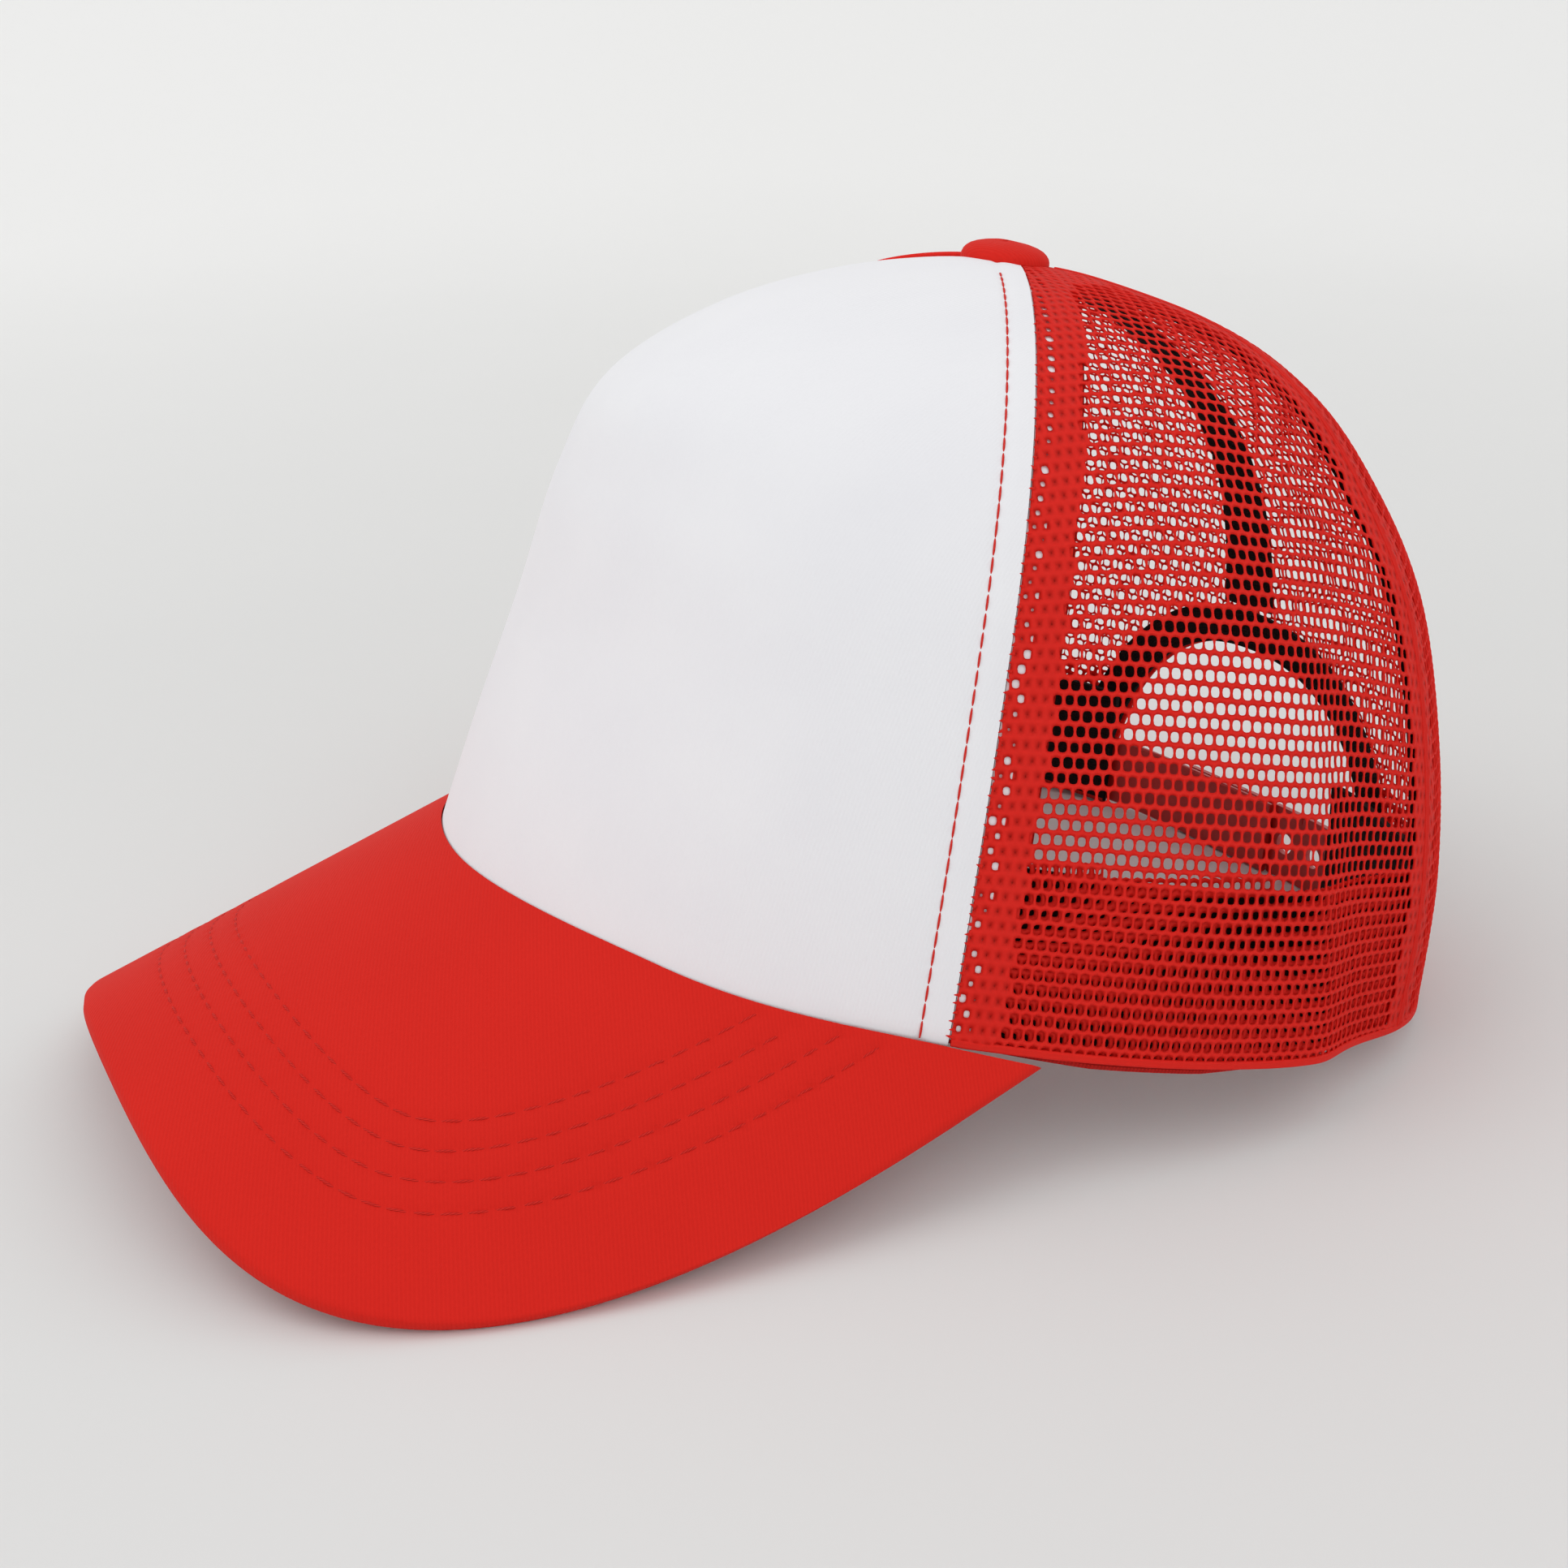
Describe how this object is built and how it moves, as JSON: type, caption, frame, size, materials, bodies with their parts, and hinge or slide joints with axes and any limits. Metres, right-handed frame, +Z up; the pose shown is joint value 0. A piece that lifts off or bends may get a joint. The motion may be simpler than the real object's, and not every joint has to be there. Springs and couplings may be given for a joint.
{
  "type": "trucker hat",
  "caption": "Adult trucker hat with a smooth white front panel, red mesh crown, arched red stitched bill, covered button and a snap strap across an arched back opening.",
  "frame": {"origin": "on the surface that the hat rests on, under the middle of its outline", "axes": "the bill points to -Y, +X is the wearer's left, +Z is up from the surface that the hat rests on"},
  "size_m": [0.1872, 0.245, 0.1369],
  "materials": {
    "white_foam": "smooth laminated foam",
    "red_mesh": "knitted polyester mesh",
    "red_twill": "cotton twill with rows of stitching",
    "red_plastic": "moulded, satin",
    "red_band": "cotton tape",
    "dark_tape": "woven binding tape"
  },
  "bodies": {
    "root": {"front_panel": "white_foam", "mesh_side_left": "red_mesh", "mesh_side_right": "red_mesh", "mesh_back_left": "red_mesh", "mesh_back_right": "red_mesh", "bill": "red_twill", "button": "red_twill", "sweatband": "dark_tape", "opening_binding": "dark_tape", "tape_front_left": "red_band", "tape_front_right": "red_band", "tape_back_left": "dark_tape", "tape_back_right": "dark_tape", "tape_centre_back": "dark_tape", "strap_hole_half": "red_plastic", "strap_stud_half": "red_plastic"}
  },
  "joints": []
}
